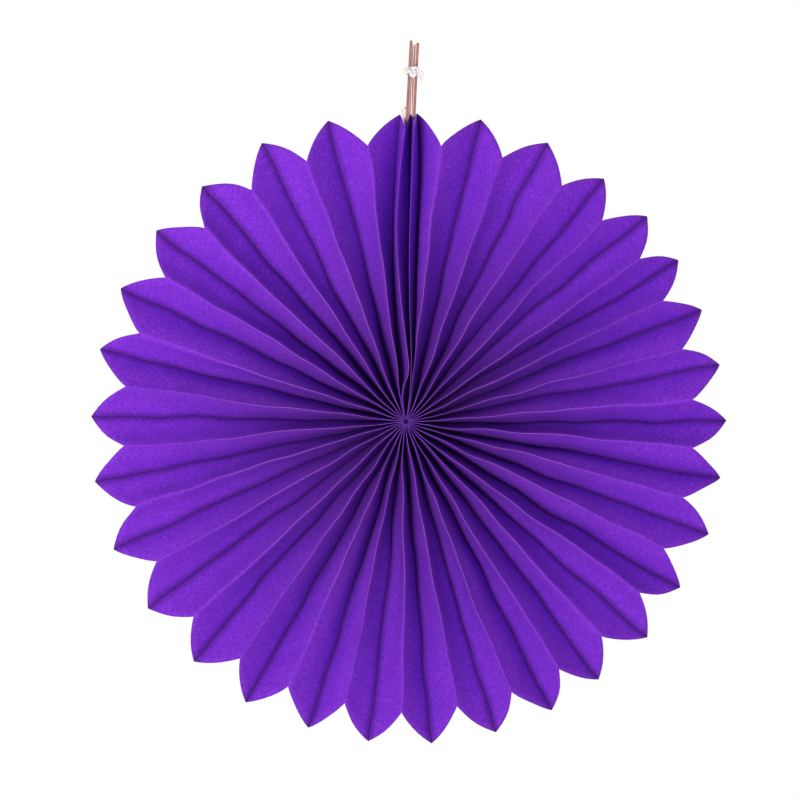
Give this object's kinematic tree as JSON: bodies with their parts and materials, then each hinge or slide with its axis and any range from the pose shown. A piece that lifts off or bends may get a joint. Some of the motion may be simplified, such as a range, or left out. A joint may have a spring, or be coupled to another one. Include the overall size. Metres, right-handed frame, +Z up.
{
  "type": "paper fan rosette",
  "caption": "Round pleated tissue paper fan with pointed petals, opened to a full disc and tied by two card handles with a knotted thread.",
  "frame": {"origin": "centre of the hub, halfway through the depth of the pleats", "axes": "+Z up along the seam as the fan hangs, -Y out of the front, +X to the right as seen from the front"},
  "size_m": [0.25, 0.0184, 0.2777],
  "materials": {
    "tissue": "matte",
    "card": "matte",
    "thread": "matte"
  },
  "bodies": {
    "root": {"pleated_fan": "tissue", "end_card_left": "card", "end_card_right": "card", "hub_thread": "thread", "tie_thread": "thread"}
  },
  "joints": []
}
